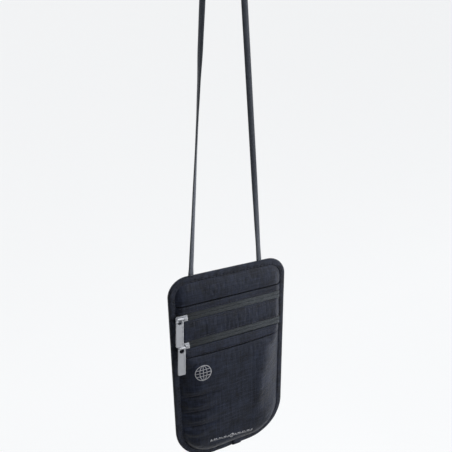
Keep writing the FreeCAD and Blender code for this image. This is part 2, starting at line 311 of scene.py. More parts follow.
def tape_material():
    """Woven zip tape in herringbone, a little greener than the cloth, with painted shade towards its left
    end and a painted shadow stripe along its outer edges.
    """
    n = Nodes("zip_tape_weave")
    place = n.coords()
    x, _, z = n.split(place)
    bands = n.maths("PINGPONG", z, 0.0011)
    chevron = n.wave(n.maths("MULTIPLY_ADD", bands, 1.1, x), 0.0010)
    fleck = n.noise(place, 700, 3, (0.5, 1, 1))
    _, height, _ = n.split(n.coords("UV"))
    tone = n.maths("MULTIPLY_ADD", chevron, 0.45, n.maths("MULTIPLY", fleck, 0.55))
    colour = n.mix(n.ramp(tone, 0.25, 0.75), (0.010, 0.012, 0.0145, 1), (0.112, 0.127, 0.143, 1))
    # Painted shade: the tape grows darker towards its left end, where less light falls.
    shade = n.ramp(n.maths("MULTIPLY_ADD", n.noise(place, 25, 3), 0.05, x), -0.04, 0.05, 0.93, 0.0)
    # Painted shadow: a dark stripe along the tape's outer edges, where the folded cloth edges shade it.
    edge_shadow = n.ramp(height, 0.0031, 0.0033)
    colour = n.mix(n.maths("MAXIMUM", shade, edge_shadow), colour, (0.004, 0.005, 0.006, 1))
    normal = n.bump(chevron, 0.0002, 0.6)
    rough = n.ramp(fleck, 0.3, 0.7, 0.55, 0.75)
    return n.finish(colour, rough, normal, Specular_IOR_Level=0.3, Sheen_Weight=0.05)


def braid_material():
    """Flat tubular braid: herringbone of fine strands along the cord, from its UV map, with painted shade
    darkening its two narrow edges.
    """
    n = Nodes("flat_braid")
    across, along, _ = n.split(n.coords("UV"))
    turns = n.maths("FRACT", n.maths("MULTIPLY", across, 4.0))
    lean = n.maths("ABSOLUTE", n.maths("SUBTRACT", turns, 0.5))
    strand = n.wave(n.maths("MULTIPLY_ADD", lean, 0.0022, along), 0.0011)
    fleck = n.noise(n.coords(), 500, 3)
    tone = n.maths("MULTIPLY_ADD", strand, 0.55, n.maths("MULTIPLY", fleck, 0.45))
    colour = n.mix(tone, (0.014, 0.018, 0.027, 1), (0.118, 0.135, 0.172, 1))
    # Painted shade: colour darkens towards the cord's two narrow edges, as if they turn away from the light.
    edge_shade_wave = n.maths("COSINE", n.maths("MULTIPLY", across, 2 * math.pi))
    edge = n.maths("POWER", n.maths("ABSOLUTE", edge_shade_wave), 5)
    colour = n.mix(n.maths("MULTIPLY", edge, 0.8), colour, (0.006, 0.007, 0.010, 1))
    normal = n.bump(strand, 0.00025, 0.8)
    return n.finish(colour, n.ramp(fleck, 0.3, 0.7, 0.5, 0.7), normal, Sheen_Weight=0.2)


def metal_material():
    """Die-cast zinc with a dull nickel finish, faintly mottled and scuffed."""
    n = Nodes("satin_nickel")
    place = n.coords()
    cloud = n.noise(place, 420, 4)
    scuff = n.noise(place, 1400, 2, (1, 1, 0.12))
    colour = n.mix(cloud, grey(0.56, 1.08, 1.02), grey(0.66, 1.07, 1.02))
    rough = n.ramp(n.maths("ADD", cloud, scuff), 0.7, 1.3, 0.34, 0.52)
    normal = n.bump(scuff, 0.00004, 0.5, n.bump(cloud, 0.0001, 0.3))
    return n.finish(colour, rough, normal, Metallic=0.45)


def coil_material():
    n = Nodes("nylon_coil")
    fleck = n.noise(n.coords(), 600, 2)
    colour = n.mix(fleck, grey(0.010, 1.1), grey(0.03, 1.1))
    return n.finish(colour, n.ramp(fleck, 0.3, 0.7, 0.3, 0.45), n.bump(fleck, 0.00005, 0.4))


def thread_material():
    """Twisted polyester thread, a shade lighter than the cloth."""
    n = Nodes("sewing_thread")
    place = n.coords()
    x, y, z = n.split(place)
    twist = n.wave(n.maths("ADD", n.maths("ADD", x, y), z), 0.00035)
    fleck = n.noise(place, 300, 2)
    colour = n.mix(n.maths("MULTIPLY", twist, fleck), grey(0.012, 1.4), grey(0.05, 1.4))
    return n.finish(colour, n.ramp(fleck, 0.3, 0.7, 0.45, 0.6), n.bump(twist, 0.00006, 0.6))


def print_material():
    """Light grey ink over cloth: slightly broken up by the weave."""
    n = Nodes("printed_ink")
    place = n.coords()
    x, _, z = n.split(place)
    weave = n.maths("MULTIPLY", n.wave(x, 0.00062), n.wave(z, 0.00062))
    worn = n.noise(place, 1100, 3)
    tone = n.ramp(n.maths("MULTIPLY_ADD", weave, -0.25, worn), 0.2, 0.55)
    colour = n.mix(tone, grey(0.26, 1.05), grey(0.55, 1.05))
    return n.finish(colour, n.ramp(worn, 0.3, 0.7, 0.5, 0.65), n.bump(weave, 0.0001, 0.4))


def lining_material():
    n = Nodes("plain_lining")
    place = n.coords()
    x, _, z = n.split(place)
    weave = n.maths("MULTIPLY", n.wave(x, 0.0005), n.wave(z, 0.0005))
    tone = n.noise(place, 200, 3)
    colour = n.mix(tone, grey(0.02), grey(0.035))
    return n.finish(colour, n.ramp(tone, 0.3, 0.7, 0.6, 0.8), n.bump(weave, 0.0001, 0.5))


def film_material():
    n = Nodes("shielding_film")
    crease = n.noise(n.coords(), 150, 5)
    colour = n.mix(crease, grey(0.45), grey(0.6))
    return n.finish(colour, n.ramp(crease, 0.3, 0.7, 0.2, 0.4), n.bump(crease, 0.0006, 0.5), Metallic=0.9)


# ---------------------------------------------------------------- the pouch's shape

DEPTH_AT = [
    (0, 2.3), (-12, 3.3), (-26, 4.0), (-33, 4.1), (-42, 4.1), (-50, 4.9), (-59.5, 5.6), (-69, 5.65),
    (-75, 6.8), (-84, 8.2), (-105, 9.0), (-140, 8.8), (-170, 7.6), (-200, 6.0),
]
RISE_AT = [
    (0, 9), (-22, 7), (-31, 5.5), (-69, 5.5), (-78, 10), (-92, 20), (-150, 24),
    (-165, 16), (-180, 8), (-200, 8),
]
CLOTH_AT_BINDING = 1.3
CLOTH = 0.45
SEAM_GAP = 1.45
SEAM_DEPTH = 1.0
TUCK = 1.6

# Each cut panel with the hem strip sewn to it: flat width and height in metres, and the share
# of that rectangle that it fills
CLOTH_SIZES = [
    ("top", ["top_hem"], (0.110, 0.0235), 0.95), ("middle", [], (0.110, 0.0205), 1.0),
    ("lower", ["lower_hem"], (0.111, 0.122), 0.95), ("back", [], (0.110, 0.193), 0.96),
]
BACK_DEPTH = 3.0


def along_keys(keys, z):
    """Smooth value at height z from (z, value) keys that run downwards."""
    for (high, first), (low, second) in zip(keys, keys[1:]):
        if z >= low:
            share = max(0.0, (high - z) / (high - low))
            share = share * share * (3 - 2 * share)
            return first + (second - first) * share
    return keys[-1][1]


def inset_of(x, z):
    """How far a point lies inside the pouch's outline."""
    upper_half = z > -HEIGHT / 2
    radius = TOP_CORNER if upper_half else BOTTOM_CORNER
    from_end = -z if upper_half else HEIGHT + z
    from_side = HALF_WIDTH - abs(x)
    if from_end < radius and from_side < radius:
        return radius - math.hypot(radius - from_end, radius - from_side)
    return min(from_end, from_side)


def half_width_at(z, inset):
    """Half the width at height z of the outline moved inwards by inset."""
    upper_half = z > -HEIGHT / 2
    radius = (TOP_CORNER if upper_half else BOTTOM_CORNER) - inset
    from_end = (-z if upper_half else HEIGHT + z) - inset
    half = HALF_WIDTH - inset
    if from_end >= radius:
        return half
    return half - radius + math.sqrt(max(0.0, radius ** 2 - (radius - from_end) ** 2))


def bell(value, centre, width):
    return math.exp(-((value - centre) / width) ** 2)


def front_y(x, z):
    """Front face of the cloth, in millimetres; more negative is further forward."""
    inset = inset_of(x, z) - BINDING_WIDTH - 0.5
    depth = along_keys(DEPTH_AT, z)
    share = min(1.0, max(0.0, inset / along_keys(RISE_AT, z)))
    rise = 1 - (1 - share) ** 2.3
    y = CLOTH_AT_BINDING + (depth - CLOTH_AT_BINDING) * rise
    lower = min(1.0, max(0.0, (-80 - z) / 14))
    y += lower * rise * creases(x, z)
    return -y


FOLDS = [
    (-115, 1.2, 3.2), (-123, -4.6, 2.5), (-132, 1.6, 3.2), (-141, -4.5, 2.4), (-149, 1.5, 3.2),
    (-157.5, -4.2, 2.5), (-165, 0.8, 4),
]


def creases(x, z):
    """Soft folds of the lower pocket: puckers at the left seam, a long roll at the right."""
    left = bell(x, -50, 20)
    folds = 0.0
    for height, size, spread in FOLDS:
        slope = (z - height - 0.12 * (x + 50)) / spread
        folds += size * math.exp(-slope ** 2 - (1.2 * slope if slope < 0 else 0) ** 2)
    shift = 0.06 * (z + 110)
    right = 0.9 * bell(x, 31 + shift, 8) - 0.9 * bell(x, 46 + shift, 6)
    wander = 0.4 * noise.noise(Vector((x / 26, z / 34, 3.7)))
    return left * folds + right * bell(z, -125, 50) + wander


def back_y(x, z):
    inset = inset_of(x, z) - BINDING_WIDTH
    share = min(1.0, max(0.0, inset / 9))
    rise = 1 - (1 - share) ** 2.3
    wander = 0.25 * noise.noise(Vector((x / 30, z / 38, 9.1)))
    return CLOTH_AT_BINDING + (BACK_DEPTH - 0.2 - CLOTH_AT_BINDING) * rise + wander * rise


# ---------------------------------------------------------------- mesh building

def to_row(x, y, z):
    return (x * MM, y * MM, (z + POUCH_TOP) * MM)


def make_piece(name, points, faces, material, body="pouch", uvs=None):
    """A mesh piece from points in pouch millimetres, riding on one body."""
    mesh = bpy.data.meshes.new(name)
    mesh.from_pydata([to_row(*p) for p in points], [], faces)
    mesh.validate()
    if uvs is not None:
        layer = mesh.uv_layers.new(name="UVMap")
        for loop in mesh.loops:
            layer.data[loop.index].uv = uvs[loop.vertex_index]
    mesh.shade_smooth()
    piece = bpy.data.objects.new(name, mesh)
    bpy.context.scene.collection.objects.link(piece)
    mesh.materials.append(material)
    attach(piece, body)
    return piece


def grid_faces(rows, columns, closed=False):
    faces = []
    for i in range(rows - 1):
        for j in range(columns if closed else columns - 1):
            k = (j + 1) % columns
            faces.append((i * columns + j, i * columns + k, (i + 1) * columns + k, (i + 1) * columns + j))
    return faces


def thicken(piece, thickness, offset=-1.0):
    """Give a sheet its thickness and keep the result as the piece's mesh."""
    solid = piece.modifiers.new("thickness", "SOLIDIFY")
    solid.thickness = thickness * MM
    solid.offset = offset
    apply_modifiers(piece)


def apply_modifiers(piece):
    evaluated = piece.evaluated_get(bpy.context.evaluated_depsgraph_get())
    mesh = bpy.data.meshes.new_from_object(evaluated)
    old = piece.data
    piece.modifiers.clear()
    piece.data = mesh
    mesh.name = old.name


FOLD_ROLL = [(0.0, 0.0), (0.22, 0.06), (0.42, 0.24), (0.52, 0.52), (0.46, 0.80)]


def cloth_rows(top, bottom, step, fold_top, fold_bottom):
    """Rows from the top edge to the bottom edge as (share, beyond, back): past a folded edge the
    rows roll over and back."""
    count = max(2, round((top - bottom) / step))
    rows = [(i / count, 0.0, 0.0) for i in range(count + 1)]
    if fold_top:
        rows = [(0.0, beyond, back) for beyond, back in FOLD_ROLL[:0:-1]] + rows
    if fold_bottom:
        rows += [(1.0, -beyond, back) for beyond, back in FOLD_ROLL[1:]]
    return rows


def cloth_strip(name, top, bottom, surface, material, nodes, step=1.1, folds=(False, False),
                proud=(0.0, 0.0), droop=(0.0, 0.0), sign=1, slack=0.0):
    """A cloth panel across the pouch between two heights, tucked into the binding at its ends."""
    columns = 121
    points = []
    fixed = []
    for share, beyond, back in cloth_rows(top, bottom, step, *folds):
        lift = proud[0] + (proud[1] - proud[0]) * share
        flat_z = top + (bottom - top) * share + beyond
        for j in range(columns):
            u = 2 * j / (columns - 1) - 1
            half = half_width_at(flat_z, BINDING_WIDTH - TUCK)
            x = u * half
            sag = (droop[0] + (droop[1] - droop[0]) * share) * (1 - min(1.0, abs(x) / HALF_WIDTH) ** 2)
            z = flat_z - sag
            inset = inset_of(x, z)
            y = surface(x, z) - sign * (lift - back)
            if inset < BINDING_WIDTH:
                y = max(-0.9, min(0.9, surface(x, z)))
            if inset < BINDING_WIDTH + 1.2 or share in (0.0, 1.0):
                fixed.append(len(points))
            points.append((x, y, z))
    rows = len(points) // columns
    points = settle(points, rows, columns, fixed, sign, slack)
    piece = make_piece(name, points, grid_faces(rows, columns), material)
    thicken(piece, CLOTH, 1.0 if sign < 0 else -1.0)
    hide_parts(*nodes)
    return piece


SETTLE_SCALE = 0.02
SETTLE_FRAMES = 22
SETTLE_MOST = 0.9


def settle(points, rows, columns, fixed, sign, slack):
    """Let a sewn panel relax: cloth held at its seams, a little too large, pushed outwards. The
    panel is settled at twenty times its size, and no point ends far from where it started."""
    if slack == 0:
        return points
    scene = bpy.context.scene
    mesh = bpy.data.meshes.new("settling")
    mesh.from_pydata([tuple(v * SETTLE_SCALE for v in p) for p in points], [], grid_faces(rows, columns))
    panel = bpy.data.objects.new("settling", mesh)
    scene.collection.objects.link(panel)
    seams = panel.vertex_groups.new(name="seams")
    seams.add(fixed, 1.0, "REPLACE")
    cloth = panel.modifiers.new("cloth", "CLOTH")
    settings = cloth.settings
    settings.vertex_group_mass = "seams"
    settings.quality = 6
    settings.mass = 0.15
    settings.air_damping = 3.0
    settings.tension_stiffness = 20
    settings.compression_stiffness = 20
    settings.shear_stiffness = 8
    settings.bending_stiffness = 0.6
    settings.shrink_min = -slack
    settings.use_pressure = True
    settings.uniform_pressure_force = -0.6 * sign
    settings.effector_weights.gravity = 0.15
    cloth.collision_settings.use_collision = False
    cloth.collision_settings.use_self_collision = False
    cloth.point_cache.frame_start = 1
    cloth.point_cache.frame_end = SETTLE_FRAMES
    for step in range(1, SETTLE_FRAMES + 1):
        scene.frame_set(step)
    settled = panel.evaluated_get(bpy.context.evaluated_depsgraph_get()).to_mesh()
    result = []
    for point, vertex in zip(points, settled.vertices):
        start = Vector(point)
        move = vertex.co / SETTLE_SCALE - start
        move.y = sign * min(0.15, sign * move.y)
        move *= SETTLE_MOST / math.sqrt(SETTLE_MOST ** 2 + move.length_squared)
        result.append(tuple(start + move))
    bpy.data.objects.remove(panel)
    bpy.data.meshes.remove(mesh)
    scene.frame_set(1)
    return result


def make_seam_shade_strip(name, height, droop, material):
    """A narrow black strip of painted shade at the bottom of a seam's groove, behind the two folded edges.
    """
    columns = 101
    points = []
    for across in (1.7, 0.85, 0.0, -0.85, -1.7):
        for j in range(columns):
            x = (2 * j / (columns - 1) - 1) * (HALF_WIDTH - BINDING_WIDTH + TUCK - 0.6)
            z = height + across - droop * (1 - (abs(x) / HALF_WIDTH) ** 2)
            depth = min(SEAM_DEPTH, -front_y(x, z) - 0.9)
            points.append((x, front_y(x, z) + depth, z))
    strip = make_piece(name, points, grid_faces(5, columns), material)
    thicken(strip, 0.25, -1.0)


def make_cloth():
    """Front panels and hems, and the back panel."""
    cloth = cloth_material()
    hem_low = UPPER["centre"] + UPPER["reach"]
    hem_top = hem_low + HEM_HEIGHT
    middle_top = UPPER["centre"] - UPPER["reach"]
    middle_low = LOWER["centre"] + LOWER["reach"]
    lip_top = LOWER["centre"] - LOWER["reach"]
    lip_low = lip_top - LOWER_HEM_HEIGHT
    droop = LOWER_HEM_DROOP
    end = BINDING_WIDTH - 1.6
    pieces = {}
    pieces["top"] = cloth_strip(
        "top_cloth", -end, hem_top + SEAM_GAP, front_y, cloth, ["top_panel"], 1.0, (False, True),
        (0.0, 0.3), slack=0.003)
    pieces["top_hem"] = cloth_strip(
        "top_hem_fold", hem_top - SEAM_GAP, hem_low, front_y, cloth, ["top_hem"], 0.7, (True, True),
        (0.3, 0.6))
    pieces["middle"] = cloth_strip(
        "middle_cloth", middle_top, middle_low, front_y, cloth, ["middle_panel"], 0.8, (True, True),
        (-0.1, 0.5), slack=0.004)
    pieces["lower_hem"] = cloth_strip(
        "lower_hem_fold", lip_top, lip_low + SEAM_GAP, front_y, cloth, ["lower_hem"], 0.7, (True, True),
        (0.2, 0.5), (0, droop))
    pieces["lower"] = cloth_strip(
        "lower_pocket_cloth", lip_low - SEAM_GAP, end - HEIGHT, front_y, cloth, ["lower_panel"], 1.0,
        (True, False), (0.0, 0.0), (droop, 0), slack=0.006)
    pieces["back"] = cloth_strip(
        "back_cloth", -end, end - HEIGHT, back_y, cloth, ["back_panel"], 1.6, sign=-1,
        slack=0.02)
    # The two seam strips below are painted shade: near-black sheets darkening the seam grooves.
    seam = seam_shade_material()
    make_seam_shade_strip("top_seam_shade_strip", hem_top, 0.0, seam)
    make_seam_shade_strip("lower_seam_shade_strip", lip_low, droop, seam)
    for key, hems, flat, share in CLOTH_SIZES:
        strips = [pieces[hem] for hem in hems]
    return pieces


def outline_at(inset, step):
    """Points round the pouch's outline moved inwards by inset, with the length to each."""
    half = HALF_WIDTH - inset
    top, low = -inset, inset - HEIGHT
    corners = [
        (half - TOP_CORNER + inset, top - TOP_CORNER + inset, TOP_CORNER - inset, 0),
        (TOP_CORNER - inset - half, top - TOP_CORNER + inset, TOP_CORNER - inset, 90),
        (BOTTOM_CORNER - inset - half, low + BOTTOM_CORNER - inset, BOTTOM_CORNER - inset, 180),
        (half - BOTTOM_CORNER + inset, low + BOTTOM_CORNER - inset, BOTTOM_CORNER - inset, 270),
    ]
    points = []
    arc_steps = 24
    for number, (x, z, radius, start) in enumerate(corners):
        for i in range(arc_steps + 1):
            turn = math.radians(start + 90 * i / arc_steps)
            points.append((x + radius * math.cos(turn), z + radius * math.sin(turn)))
        x2, z2, radius2, start2 = corners[(number + 1) % 4]
        turn = math.radians(start2)
        ahead = (x2 + radius2 * math.cos(turn), z2 + radius2 * math.sin(turn))
        gap = math.dist(points[-1], ahead)
        count = max(1, round(gap / step))
        last = points[-1]
        for i in range(1, count):
            along = [a + (b - a) * i / count for a, b in zip(last, ahead)]
            points.append(tuple(along))
    return points


BINDING_STITCH = 3.4
BINDING_PROFILE = [
    (6.0, -1.25), (6.05, -1.6), (5.9, -1.86), (5.2, -2.02), (3.4, -2.12), (1.8, -2.04), (0.8, -1.7),
    (0.2, -1.0), (0.0, 0.0), (0.2, 1.0), (0.8, 1.62), (1.8, 1.9), (3.4, 1.98), (5.2, 1.9), (5.9, 1.76),
    (6.05, 1.5), (6.0, 1.25),
    (5.4, 1.22), (2.9, 1.25), (2.7, 0.0), (2.9, -1.25), (5.4, -1.22),
]


def make_binding():
    """Tape folded over the edge all the way round, lapped over itself at the bottom."""
    base = outline_at(0, 0.85)
    count = len(base)
    lengths = [0.0]
    for a, b in zip(base, base[1:] + base[:1]):
        lengths.append(lengths[-1] + math.dist(a, b))
    points, uvs = [], []
    profile_run = [0.0]
    for a, b in zip(BINDING_PROFILE, BINDING_PROFILE[1:]):
        profile_run.append(profile_run[-1] + math.dist(a, b))
    for i, (x, z) in enumerate(base):
        ahead, behind = base[(i + 1) % count], base[i - 1]
        dx, dz = ahead[0] - behind[0], ahead[1] - behind[1]
        size = math.hypot(dx, dz)
        inward = (-dz / size, dx / size)
        ripple = 0.16 * noise.noise(Vector((x / 9, z / 9, 1.3)))
        waver = 0.28 * noise.noise(Vector((x / 14, z / 14, 7.9)))
        pinch = math.cos(math.pi * lengths[i] / BINDING_STITCH) ** 2
        for (depth, y), run in zip(BINDING_PROFILE, profile_run):
            inner = min(1.0, depth / 6.0)
            reach = depth + waver * inner
            flat = 1 + ripple - 0.20 * pinch * bell(depth, 4.9, 1.3)
            points.append((x + inward[0] * reach, y * flat, z + inward[1] * reach))
            uvs.append((lengths[i] * MM, run * MM))
    size = len(BINDING_PROFILE)
    faces = []
    for i in range(count):
        for j in range(size):
            k, m = (j + 1) % size, (i + 1) % count
            faces.append((i * size + j, i * size + k, m * size + k, m * size + j))
    material = binding_material()
    piece = make_piece("binding_tape", points, faces, material, uvs=uvs)
    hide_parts("edge_binding")
    return piece, material


def make_lap(material):
    """The end of the binding tape, lapped over its beginning at the bottom seam."""
    low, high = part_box("binding_end_lap")
    left, right = low.x / MM, high.x / MM
    profile = [(6.3, -1.5), (6.35, -2.2), (5.6, -2.5), (3.4, -2.62), (1.6, -2.5), (0.5, -2.0), (-0.25, -1.0),
               (-0.4, 0.0), (-0.25, 1.0), (0.6, 1.95), (2.0, 2.3), (5.4, 2.3), (6.2, 1.9)]
    columns = 10
    points, uvs = [], []
    for i in range(columns + 1):
        share = i / columns
        x = left + (right - left) * share
        lift = 0.55 * math.sin(math.pi * min(1.0, share * 2.2) / 2)
        for j, (depth, y) in enumerate(profile):
            shrink = 1 - (1 - lift / 0.55) * 0.12
            points.append((x + 0.25 * math.sin(j), y * shrink, depth - HEIGHT))
            uvs.append((x * MM, j * 0.0012))
    faces = grid_faces(columns + 1, len(profile))
    piece = make_piece("binding_lap", points, faces, material, uvs=uvs)
    thicken(piece, 0.35, 1.0)
    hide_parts("binding_end_lap")


def make_tapes():
    """Zip tapes: flat behind the sliders, dipping under the binding at both ends."""
    material = tape_material()
    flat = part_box("upper_coil_top")[1].x / MM
    foot = HALF_WIDTH - 4.6
    columns = [-foot, -foot + 0.9, -flat - 1.0, -flat - 0.35, -flat + 0.4]
    count = 60
    columns += [(-flat + 1.2) + (2 * flat - 2.4) * i / count for i in range(count + 1)]
    columns += [-x for x in columns[4::-1]]
    for name, place in ZIPS.items():
        for side, sign in (("top", 1), ("bottom", -1)):
            points, uvs = [], []
            flush = (name, side) == ("upper", "bottom")
            gutter = 0.5 if flush else 1.1
            heights = [0.36, 0.5, 0.9, 1.6, 2.4, 2.8, 3.1, 3.4, 3.8, 4.2, 4.8, 5.8]
            for number, height in enumerate(heights):
                edge_dip = 0.22 if number == 0 else 0.0
                swell = -0.06 * bell(height, 1.6, 0.8) 
                swell += gutter * min(1.0, max(0.0, (height - 3.1) / 0.6))
                for x in columns:
                    beyond = max(0.0, abs(x) - flat + 0.4)
                    dip = (abs(place["face"]) - 1.0) * min(1.0, (beyond / 1.4)) ** 1.5
                    y = place["face"] + edge_dip + dip + swell
                    points.append((x, y, place["centre"] + sign * height))
                    # The upper zip's lower tape has its UV height capped below the painted shadow stripe, so
                    # that tape shows no painted shadow.
                    uvs.append((x * MM, (min(height, 2.9) if flush else height) * MM))
            faces = grid_faces(len(heights), len(columns))
            if sign < 0:
                faces = [face[::-1] for face in faces]
            piece = make_piece(f"{name}_zip_tape_{side}", points, faces, material, uvs=uvs)
            thicken(piece, 0.42, 1.0)
            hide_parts(f"{name}_tape_{side}")


def make_coils():
    """Nylon coil on the hidden side of each tape, wound as a real coil."""
    material = coil_material()
    pitch, radius_wire, turn_points, ring = 1.3, 0.27, 10, 5
    for name in ZIPS:
        for side, sign in (("top", 1), ("bottom", -1)):
            low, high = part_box(f"{name}_coil_{side}")
            deep = (high.y - low.y) / MM / 2 - radius_wire
            tall = (high.z - low.z) / MM / 2 - radius_wire
            middle = ((low.y + high.y) / 2 / MM, (low.z + high.z) / 2 / MM - POUCH_TOP)
            length = (high.x - low.x) / MM - 2 * radius_wire
            steps = int(length / pitch * turn_points)
            points = []
            for i in range(steps + 1):
                turn = sign * 2 * math.pi * i / turn_points
                x = low.x / MM + radius_wire + length * i / steps
                out = Vector((0, math.cos(turn), math.sin(turn)))
                centre = Vector((x, middle[0] + deep * out.y, middle[1] + tall * out.z))
                for k in range(ring):
                    around = 2 * math.pi * k / ring
                    sideways = Vector((math.sin(around) * radius_wire, 0, 0))
                    offset = out * math.cos(around) * radius_wire + sideways
                    points.append(tuple(centre + offset))
            faces = grid_faces(steps + 1, ring, closed=True)
            faces += [tuple(range(ring))[::-1], tuple(range(steps * ring, (steps + 1) * ring))]
            piece = make_piece(f"{name}_nylon_coil_{side}", points, faces, material)
            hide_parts(f"{name}_coil_{side}")


# ---------------------------------------------------------------- thread and print

class Ground:
    """The cloth's front as it finally lies, for thread and print to sit on."""

    def __init__(self, pieces, toward=1):
        self.trees = []
        self.toward = toward
        for piece in pieces:
            self.trees.append(BVHTree.FromObject(piece, bpy.context.evaluated_depsgraph_get()))

    def y_at(self, x, z):
        start = Vector(to_row(x, -40 * self.toward, z))
        best = None
        for tree in self.trees:
            hit = tree.ray_cast(start, Vector((0, self.toward, 0)))[0]
            if hit is not None and (best is None or hit.y * self.toward < best * self.toward):
                best = hit.y
        return None if best is None else best / MM


def stitch_points(line, pitch, length):
    """Ends of each stitch along a line of (x, z) points, at even spacing."""
    runs = [0.0]
    for a, b in zip(line, line[1:]):
        runs.append(runs[-1] + math.dist(a, b))
    xs, zs = [p[0] for p in line], [p[1] for p in line]
    for i in range(int(runs[-1] / pitch)):
        ends = [i * pitch + (pitch - length) / 2, i * pitch + (pitch + length) / 2]
        yield [(float(np.interp(e, runs, xs)), float(np.interp(e, runs, zs))) for e in ends]


STITCH_SIDES = 6
STITCH_RINGS = [
    (0.0, 0.35, 0.16), (0.12, 0.9, -0.02), (0.35, 1.0, -0.1),
    (0.65, 1.0, -0.1), (0.88, 0.9, -0.02), (1.0, 0.35, 0.16),
]


def make_stitches(name, lines, ground, material, toward=1, pitch=3.0, length=2.35, radius=0.2):
    """Rows of thread stitches lying on the cloth, each end dipping into it."""
    points, faces = [], []
    for line in lines:
        for a, b in stitch_points(line, pitch, length):
            ya, yb = ground(*a), ground(*b)
            if ya is None or yb is None:
                continue
            start, end = Vector((a[0], ya, a[1])), Vector((b[0], yb, b[1]))
            ahead = (end - start).normalized()
            out = Vector((0, -toward, 0))
            side = ahead.cross(out).normalized()
            first = len(points)
            for share, size, sink in STITCH_RINGS:
                centre = start.lerp(end, share) - out * sink
                for k in range(STITCH_SIDES):
                    around = 2 * math.pi * k / STITCH_SIDES
                    offset = side * math.cos(around) + out * math.sin(around)
                    points.append(tuple(centre + offset * radius * size))
            rings = len(STITCH_RINGS)
            for face in grid_faces(rings, STITCH_SIDES, closed=True):
                faces.append(tuple(first + v for v in face))
            faces.append(tuple(first + v for v in reversed(range(STITCH_SIDES))))
            faces.append(tuple(first + (rings - 1) * STITCH_SIDES + v for v in range(STITCH_SIDES)))
    return make_piece(name, points, faces, material)


def straight_line(z, droop=0.0, reach=50.5):
    xs = [-reach + 2 * reach * i / 60 for i in range(61)]
    return [(x, z - droop * (1 - (x / HALF_WIDTH) ** 2)) for x in xs]


def make_seams(pieces, tape):
    """Top stitching on the hems and along both faces of the binding."""
    thread = thread_material()
    front = Ground([pieces[k] for k in ("top", "top_hem", "middle", "lower_hem", "lower")])
    hem_low = UPPER["centre"] + UPPER["reach"]
    middle_top = UPPER["centre"] - UPPER["reach"]
    middle_low = LOWER["centre"] + LOWER["reach"]
    lip_top = LOWER["centre"] - LOWER["reach"]
    inside = 1.1
    lines = {
        "top_hem_stitches": [straight_line(hem_low + inside), straight_line(hem_low + HEM_HEIGHT - inside)],
        "middle_stitches": [straight_line(middle_top - inside), straight_line(middle_low + inside)],
        "lower_hem_stitches": [
            straight_line(lip_top - inside),
            straight_line(lip_top - LOWER_HEM_HEIGHT + inside, LOWER_HEM_DROOP * 0.85),
        ],
    }
    for name, rows in lines.items():
        make_stitches(name, rows, front.y_at, thread)
    ring = outline_at(4.7, 2.0)
    ring.append(ring[0])
    tape_front = Ground([tape])
    tape_back = Ground([tape], toward=-1)
    pitch = BINDING_STITCH
    make_stitches("binding_stitches_front", [ring], tape_front.y_at, thread, pitch=pitch)
    make_stitches("binding_stitches_back", [ring], tape_back.y_at, thread, toward=-1, pitch=pitch)
    return front


def ribbon(path, width, ground, lift):
    """A flat printed line of some width along (x, z) points, lying on the cloth."""
    points, faces = [], []
    for i, (x, z) in enumerate(path):
        ahead, behind = path[min(i + 1, len(path) - 1)], path[max(i - 1, 0)]
        if math.dist(path[0], path[-1]) < 1e-6 and i in (0, len(path) - 1):
            ahead, behind = path[1], path[-2]
        dx, dz = ahead[0] - behind[0], ahead[1] - behind[1]
        size = math.hypot(dx, dz)
        for sign in (-0.5, 0.0, 0.5):
            px, pz = x - dz / size * width * sign, z + dx / size * width * sign
            points.append((px, ground.y_at(px, pz) - lift, pz))
    faces = grid_faces(len(path), 3)
    return points, faces


def circle(x, z, radius_x, radius_z, start=0, end=360, count=48):
    turns = [math.radians(start + (end - start) * i / count) for i in range(count + 1)]
    return [(x + radius_x * math.cos(t), z + radius_z * math.sin(t)) for t in turns]


def merged(parts):
    points, faces = [], []
    for more_points, more_faces in parts:
        first = len(points)
        points += more_points
        faces += [tuple(first + v for v in face) for face in more_faces]
    return points, faces


MARK_CENTRE = (-31.6, -95.0)
MARK_RADIUS = 7.6
MARK_LINE = 0.75


def make_print(ground):
    """Generic printed marks: a plain globe, and a broken line near the bottom seam."""
    ink = print_material()
    x, z = MARK_CENTRE
    radius = MARK_RADIUS
    strokes = [(circle(x, z, radius, radius), MARK_LINE)]
    strokes.append((circle(x, z, radius * 0.45, radius * 0.97), MARK_LINE * 0.75))
    strokes.append(([(x, z - radius), (x, z), (x, z + radius)], MARK_LINE * 0.75))
    for height in (-0.42, 0.0, 0.42):
        half = radius * math.sqrt(1 - height ** 2) * 0.98
        level = z + height * radius
        parallel = [(x - half + 2 * half * i / 12, level) for i in range(13)]
        strokes.append((parallel, MARK_LINE * 0.75))
    parts = [ribbon(path, width, ground, 0.10) for path, width in strokes]
    points, faces = merged(parts)
    mark = make_piece("printed_globe", points, faces, ink)
    thicken(mark, 0.06, 0.0)

    left, right, middle, tall, lean = -25.7, 19.3, -179.4, 2.6, 0.7
    centre = (left + right) / 2
    parts = [ribbon(circle(centre, middle, 2.0, 2.0, count=24), 0.7, ground, 0.10)]
    slash = [(centre - 1.1, middle - 2.6), (centre, middle), (centre + 1.1, middle + 2.6)]
    parts.append(ribbon(slash, 0.8, ground, 0.10))
    count = 26
    for i in range(count + 1):
        x = left + (right - left) * i / count
        if abs(x - centre) < 3.2:
            continue
        height = middle - 0.12 * (x - centre)
        drop = 0.45 * tall if i % 3 == 1 else 0.0
        top = (x + lean / 2 - drop * 0.3, height + tall / 2 - drop)
        path = [(x - lean / 2, height - tall / 2), (x, height), top]
        parts.append(ribbon(path, 0.95, ground, 0.10))
    points, faces = merged(parts)
    line = make_piece("printed_dash_line", points, faces, ink)
    thicken(line, 0.06, 0.0)


# ---------------------------------------------------------------- cord

CORD_WIDTH = 5.0
CORD_THICK = 1.95
LOOP_DROP = -POUCH_TOP
HOOK_HALF = 7.6
NEAR_HOOK = 30.0
CORD_LEFT = -36.0
CORD_RIGHT = 30.7


